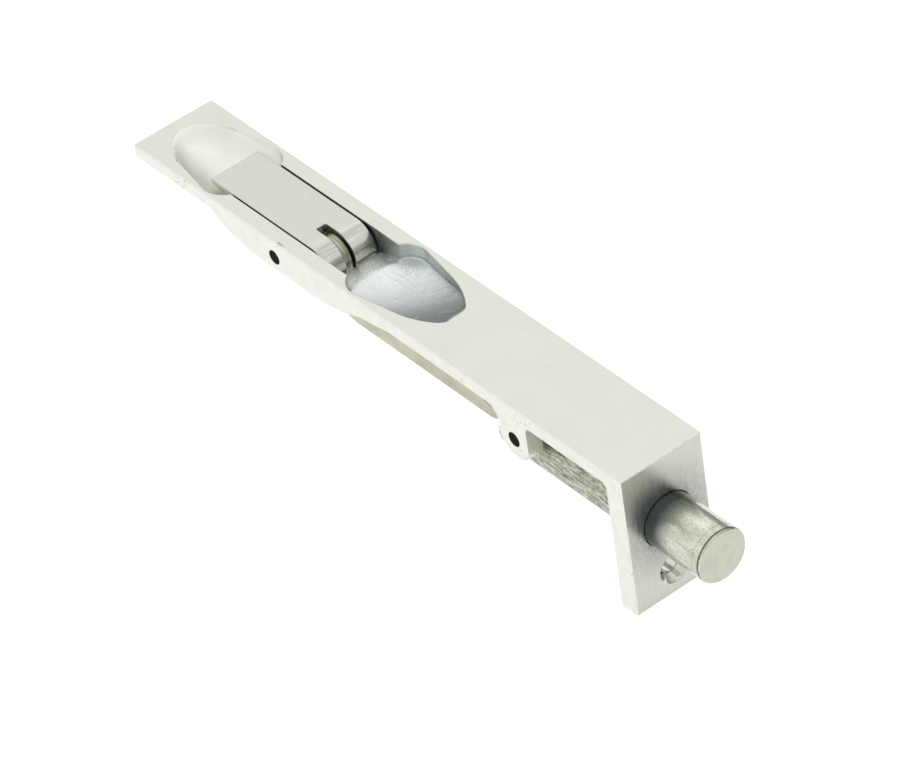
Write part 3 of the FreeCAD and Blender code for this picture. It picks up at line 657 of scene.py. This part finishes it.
class FLUSHBOLT_OT_bolt(bpy.types.Operator):
    """Finish the bolt: turned nose, rough shank"""

    bl_idname = "flushbolt.bolt"
    bl_label = "Bolt"

    def execute(self, context):
        sizes = context.scene.flush_bolt_sizes
        colours = context.scene.flush_bolt_colours
        rod = clean_copy("bolt_rod", "bolt")
        rod.data.materials.append(self.turned(colours.steel))
        rod.data.materials.append(self.rough(colours.rough_steel))
        for face in rod.data.polygons:
            face.material_index = 0 if face.center.x > -0.01 * MM else 1
        soften_edges(rod, sizes.bolt_edge_soft)
        settle(rod, "bolt", "bolt_steel", "bolt_rod")
        return {"FINISHED"}

    @staticmethod
    def turned(colour):
        """Lathe-turned steel: painted dark rings by its end, a painted dark reflection on its
        upper side by the plate, a matt end.
        """
        f = Finish("Turned nose", roughness=0.16)
        marks = f.group("Brush grain", Position=f.position,
                        Stretch=(3200.0, 90.0, 90.0), Contrast=1.0)
        pitted = f.group("Cast skin", Position=f.position, Grain=2600.0, Pits=1.0)
        along = f.split(f.position)["X"]
        end = f.between(along, BOLT_HIGH.x - 0.12 * MM, BOLT_HIGH.x - 0.04 * MM)
        patches = f.noise(f.scaled(f.position, (160.0, 500.0, 500.0)), 1.0, detail=5.0)
        dark_patch = f.between(patches, 0.45, 0.6)
        steel = f.mix(f.math("ADD", marks["Shade"], 0.5), tint(colour, 0.86), tint(colour, 1.12))
        steel = f.cover(steel, dark_patch, 0.5, tint(colour, 0.7))
        streaks = f.noise(f.scaled(f.position, (1300.0, 3600.0, 3600.0)), 1.0, detail=3.0)
        steel = f.cover(steel, f.between(streaks, 0.5, 0.62), 0.45, tint(colour, 0.5))
        steel = f.mix(end, steel, tint(colour, 0.88))
        # painted reflection: the upper side of the nose by the plate is painted dark blue-grey
        by_plate = f.between(along, 6.8 * MM, 2.2 * MM)
        above = f.vector("DOT_PRODUCT", f.position, (0.0, -115.0, 115.0))
        ragged = f.math("ADD", above, f.math("MULTIPLY", dark_patch, -0.25))
        dark_reflection = f.math("MULTIPLY", by_plate, f.between(ragged, -0.1, 0.5))
        steel = f.cover(steel, dark_reflection, 0.95, (0.09, 0.105, 0.125, 1.0))
        # painted reflection: dark rings near the rounded end; each is its distance back, width
        # and darkness
        for back, width, ring_darkness in ((0.48, 0.26, 0.85), (2.1, 0.09, 0.5)):
            off = f.math("ABSOLUTE", f.math("SUBTRACT", along, BOLT_HIGH.x - back * MM))
            ring = f.between(off, width * MM, width * 0.5 * MM, 0.0, ring_darkness)
            steel = f.mix(ring, steel, (0.06, 0.06, 0.06, 1.0))
        f.set("Base Color", f.cover(steel, pitted["Pit mask"], 0.7, tint(colour, 0.35)))
        f.set("Roughness", f.math("ADD", f.between(dark_patch, 0.0, 1.0, 0.10, 0.26),
                                  f.math("MULTIPLY", end, 0.25)))
        pits = f.math("MULTIPLY", pitted["Height"], end)
        f.bump(f.math("ADD", marks["Height"], pits), 0.03 * MM)
        return f.material

    @staticmethod
    def rough(colour):
        """Dull drawn bar with mill scale."""
        f = Finish("Rough shank", roughness=0.5)
        skin = f.group("Cast skin", Position=f.position, Grain=2600.0, Pits=1.0)
        drawn = f.noise(f.scaled(f.position, (420.0, 3000.0, 3000.0)), 1.0,
                        detail=4.0, roughness=0.75)
        film = f.noise(f.position, 700.0, detail=5.0, roughness=0.7)
        tone = f.math("ADD", f.math("MULTIPLY", drawn, 0.75), f.math("MULTIPLY", film, 0.25))
        base = f.mix(f.between(tone, 0.40, 0.62), tint(colour, 0.40), tint(colour, 1.7))
        f.set("Base Color", f.cover(base, skin["Pit mask"], 0.8, tint(colour, 0.3)))
        f.set("Roughness", f.between(drawn, 0.35, 0.65, 0.55, 0.35))
        f.bump(f.math("ADD", skin["Height"], drawn), 0.12 * MM)
        return f.material


class FLUSHBOLT_OT_link(bpy.types.Operator):
    """Finish the link: bare strip steel with drawn edges"""

    bl_idname = "flushbolt.link"
    bl_label = "Link"

    def execute(self, context):
        sizes = context.scene.flush_bolt_sizes
        colours = context.scene.flush_bolt_colours
        link = clean_copy("link_bar", "link")
        link.data.materials.append(self.bare(colours.link))
        soften_edges(link, sizes.link_edge_soft)
        settle(link, "link", "link_steel", "link_bar")
        return {"FINISHED"}

    @staticmethod
    def bare(colour):
        """Unplated strip: brown film, scratched along it and darker round the crank pin."""
        f = Finish("Bare strip", roughness=0.42)
        grain = f.group("Brush grain", Position=f.position,
                        Stretch=(120.0, 1800.0, 1800.0), Contrast=1.4)
        film = f.noise(f.position, 220.0, detail=4.0)
        lift = f.math("ADD", grain["Shade"], f.between(film, 0.3, 0.7, 0.2, 0.8))
        base = f.mix(lift, tint(colour, 0.75), tint(colour, 1.25))
        # darker within a few millimetres of the crank pin, in uneven bands
        from_crank = f.vector("SUBTRACT", f.position, CRANK)
        away = f.vector("LENGTH", f.scaled(from_crank, (1.0, 0.0, 1.0)))
        rings = f.noise(f.scaled(f.position, (150.0, 4200.0, 150.0)), 1.0, detail=2.0)
        dark_patch = f.mix(f.between(rings, 0.42, 0.6), tint(colour, 0.35), tint(colour))
        f.set("Base Color", f.mix(f.between(away, 9.0 * MM, 7.0 * MM), base, dark_patch))
        f.set("Roughness", f.between(film, 0.3, 0.7, 0.34, 0.5))
        f.bump(grain["Height"], 0.01 * MM)
        return f.material


class FLUSHBOLT_OT_pins(bpy.types.Operator):
    """Finish the pins, the rivet and the friction spring on their CAD nodes"""

    bl_idname = "flushbolt.pins"
    bl_label = "Pins and spring"

    def execute(self, context):
        steel = plain_metal("Pin steel", (0.36, 0.36, 0.33), 0.35)
        blued = plain_metal("Blued spring", (0.13, 0.14, 0.17), 0.3)
        finishes = {
            "lever_pivot_pin": steel,
            "lever_link_pin": steel,
            "bolt_link_rivet": steel,
            "guide_pin": steel,
            "friction_spring": blued,
        }
        for node, material in finishes.items():
            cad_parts[node].material_slots[0].material = material
        return {"FINISHED"}


class FLUSHBOLT_OT_flash(bpy.types.Operator):
    """Scatter the ragged specks of parting flash along the housing's lower edges"""

    bl_idname = "flushbolt.flash"
    bl_label = "Parting flash"

    def execute(self, context):
        sizes = context.scene.flush_bolt_sizes
        mesh = bpy.data.meshes.new("parting_flash")
        mesh.from_pydata(*self.lower_edges(sizes.flash_size), [])
        flash = link_object("parting_flash", mesh)
        tree = self.tree()
        spread = flash.modifiers.new("Flash specks", "NODES")
        spread.node_group = tree
        values = {"Spacing": sizes.flash_spacing, "Size": sizes.flash_size, "Seed": 7,
                  "Material": plain_metal("Flash", (0.34, 0.34, 0.31), 0.5)}
        for item in tree.interface.items_tree:
            if item.name in values and item.in_out == "INPUT":
                spread[item.identifier] = values[item.name]
        apply_modifiers(flash)
        if not flash.data.polygons:
            raise RuntimeError("the parting flash came out empty")
        settle(flash, "case", "satin_casting")
        return {"FINISHED"}

    @staticmethod
    def lower_edges(inset):
        """Points and edges along the housing's underside, just inside its two sides."""
        source = bmesh.new()
        source.from_mesh(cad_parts["body_casting"].data)
        bmesh.ops.remove_doubles(source, verts=source.verts, dist=WELD)
        points, edges = [], []
        for edge in source.edges:
            ends = [vertex.co for vertex in edge.verts]
            side = [abs(abs(end.y) - CASTING_HIGH.y) < 0.01 * MM for end in ends]
            low = [end.z < HOUSING_TOP and HOUSING_FROM < end.x < HOUSING_TO for end in ends]
            clear = [(end - PIVOT).xz.length > OFF_HOLE for end in ends]
            if all(side + low + clear) and edge.calc_face_angle(0.0) > CORNER_ANGLE:
                edges.append((len(points), len(points) + 1))
                points += [Vector((end.x, math.copysign(abs(end.y) - inset, end.y), end.z))
                           for end in ends]
        source.free()
        return points, edges

    @staticmethod
    def tree():
        """Edges to resampled curves, a lump at each point, all joined into one mesh."""
        tree = bpy.data.node_groups.new("Flash specks", "GeometryNodeTree")
        face = tree.interface
        face.new_socket("Edges", in_out="INPUT", socket_type="NodeSocketGeometry")
        for label, kind in (("Spacing", FLOAT), ("Size", FLOAT), ("Seed", "NodeSocketInt"),
                            ("Material", "NodeSocketMaterial")):
            face.new_socket(label, in_out="INPUT", socket_type=kind)
        face.new_socket("Specks", in_out="OUTPUT", socket_type="NodeSocketGeometry")
        w = Wiring(tree)
        start, end = w.add("NodeGroupInput"), w.add("NodeGroupOutput")
        curve = w.add("GeometryNodeMeshToCurve")
        w.feed(curve.inputs["Mesh"], start.outputs["Edges"])
        beads = w.add("GeometryNodeResampleCurve", mode="LENGTH")
        w.feed(beads.inputs["Curve"], curve.outputs["Curve"])
        w.feed(beads.inputs["Length"], start.outputs["Spacing"])
        points = w.add("GeometryNodeCurveToPoints", mode="EVALUATED")
        w.feed(points.inputs["Curve"], beads.outputs["Curve"])
        lump = w.add("GeometryNodeMeshIcoSphere")
        lump.inputs["Subdivisions"].default_value = 2
        w.feed(lump.inputs["Radius"], start.outputs["Size"])
        scale = w.add("FunctionNodeRandomValue", data_type="FLOAT_VECTOR")
        scale.inputs["Min"].default_value = (0.2, 0.2, 0.15)
        scale.inputs["Max"].default_value = (1.6, 0.8, 0.75)
        w.feed(scale.inputs["Seed"], start.outputs["Seed"])
        keep = w.add("FunctionNodeRandomValue", data_type="BOOLEAN")
        keep.inputs["Probability"].default_value = 0.45
        w.feed(keep.inputs["Seed"], start.outputs["Seed"])
        spread = w.add("GeometryNodeInstanceOnPoints")
        w.feed(spread.inputs["Points"], points.outputs["Points"])
        w.feed(spread.inputs["Selection"], keep.outputs["Value"])
        w.feed(spread.inputs["Instance"], lump.outputs["Mesh"])
        w.feed(spread.inputs["Scale"], scale.outputs["Value"])
        whole = w.add("GeometryNodeRealizeInstances")
        w.feed(whole.inputs["Geometry"], spread.outputs["Instances"])
        finish = w.add("GeometryNodeSetMaterial")
        w.feed(finish.inputs["Geometry"], whole.outputs["Geometry"])
        w.feed(finish.inputs["Material"], start.outputs["Material"])
        w.feed(end.inputs["Specks"], finish.outputs["Geometry"])
        return tree


class FLUSHBOLT_OT_stage(bpy.types.Operator):
    """Set up the camera, the pale floor and the soft lights"""

    bl_idname = "flushbolt.stage"
    bl_label = "Stage"

    def execute(self, context):
        stage = context.scene.flush_bolt_stage
        self.camera(context.scene, stage)
        self.floor(stage)
        self.sky(context.scene, stage)
        self.lights()
        context.scene.view_settings.view_transform = "Standard"
        return {"FINISHED"}

    @staticmethod
    def camera(scene, stage):
        camera = bpy.data.objects.new("Camera", bpy.data.cameras.new("Camera"))
        scene.collection.objects.link(camera)
        back = Vector((math.sin(stage.azimuth) * math.cos(stage.elevation),
                       -math.cos(stage.azimuth) * math.cos(stage.elevation),
                       math.sin(stage.elevation)))
        camera.location = Vector(stage.target) + back * stage.distance
        camera.rotation_mode = "QUATERNION"
        level = (-back).to_track_quat("-Z", "Y")
        camera.rotation_quaternion = level @ Quaternion((0, 0, 1), stage.roll)
        camera.data.sensor_width = 36.0
        camera.data.lens = stage.lens
        camera.data.clip_start = 0.01
        scene.camera = camera

    @staticmethod
    def floor(stage):
        half = 3.0
        height = CAD_BOX[0].z - stage.floor_drop
        mesh = bpy.data.meshes.new("floor")
        signs = ((-1, -1), (1, -1), (1, 1), (-1, 1))
        mesh.from_pydata([(x * half, y * half, height) for x, y in signs], [], [(0, 1, 2, 3)])
        floor = link_object("floor", mesh)
        f = Finish("Pale floor", metallic=0.0, roughness=0.9)
        f.shader.inputs["Base Color"].default_value = (0.3, 0.3, 0.3, 1.0)
        f.shader.inputs["Emission Color"].default_value = (1.0, 1.0, 1.0, 1.0)
        away = f.vector("LENGTH", f.position)
        f.set("Emission Strength", f.between(away, 0.5, 1.6, stage.floor_glow, 0.3))
        mesh.materials.append(f.material)

    @staticmethod
    def sky(scene, stage):
        """A room that is bright overhead and dim round the horizon behind the object."""
        world = bpy.data.worlds.new("Pale room")
        world.use_nodes = True
        w = Wiring(world.node_tree)
        way = w.split(w.place("Generated"))
        dim = w.between(way["Y"], -0.5, 0.2, stage.sky_glow * 0.9, stage.horizon_glow)
        glow = w.between(way["Z"], 0.12, 0.66, dim, stage.sky_glow)
        w.feed(w.nodes["Background"].inputs["Strength"], glow)
        w.nodes["Background"].inputs["Color"].default_value = (1.0, 1.0, 1.0, 1.0)
        scene.world = world

    @staticmethod
    def lights():
        """Soft boxes that face the lever: name, place, size and power."""
        aim = Vector((-0.07, 0.0, 0.0))
        boxes = [
            ("Overhead", Vector((-0.7, 0.42, 0.64)), 0.7, 0.5),
            ("Near side", Vector((-0.35, -0.8, 0.35)), 0.6, 0.3),
            ("Front", Vector((0.9, 0.2, 0.5)), 0.4, 0.2),
        ]
        for name, place, size, power in boxes:
            lamp = bpy.data.lights.new(name, "AREA")
            lamp.size = size
            lamp.energy = power
            light = bpy.data.objects.new(name, lamp)
            bpy.context.scene.collection.objects.link(light)
            light.location = place
            light.rotation_euler = (aim - place).to_track_quat("-Z", "Y").to_euler()


class FLUSHBOLT_PT_panel(bpy.types.Panel):
    """Sizes, colours and the steps that make the flush bolt"""

    bl_idname = "FLUSHBOLT_PT_panel"
    bl_label = "Flush Bolt"
    bl_space_type = "VIEW_3D"
    bl_region_type = "UI"
    bl_category = "Flush Bolt"

    def draw(self, context):
        for group in SETTINGS:
            settings = getattr(context.scene, group)
            column = self.layout.column()
            for name in type(settings).__annotations__:
                column.prop(settings, name)
        for step in STEPS:
            self.layout.operator(step.bl_idname)


SETTINGS = {"flush_bolt_sizes": FlushBoltSizes, "flush_bolt_colours": FlushBoltColours,
            "flush_bolt_stage": FlushBoltStage}
STEPS = (FLUSHBOLT_OT_stage, FLUSHBOLT_OT_casting, FLUSHBOLT_OT_lever, FLUSHBOLT_OT_link,
         FLUSHBOLT_OT_bolt, FLUSHBOLT_OT_pins, FLUSHBOLT_OT_flash)
CLASSES = (*SETTINGS.values(), *STEPS, FLUSHBOLT_PT_panel)


def register():
    for part in CLASSES:
        bpy.utils.register_class(part)
    for name, settings in SETTINGS.items():
        setattr(bpy.types.Scene, name, bpy.props.PointerProperty(type=settings))


def unregister():
    for name in reversed(SETTINGS):
        delattr(bpy.types.Scene, name)
    for part in reversed(CLASSES):
        bpy.utils.unregister_class(part)


def main():
    register()
    for step in STEPS:
        group, name = step.bl_idname.split(".")
        getattr(getattr(bpy.ops, group), name)()


if __name__ == "__main__":
    main()
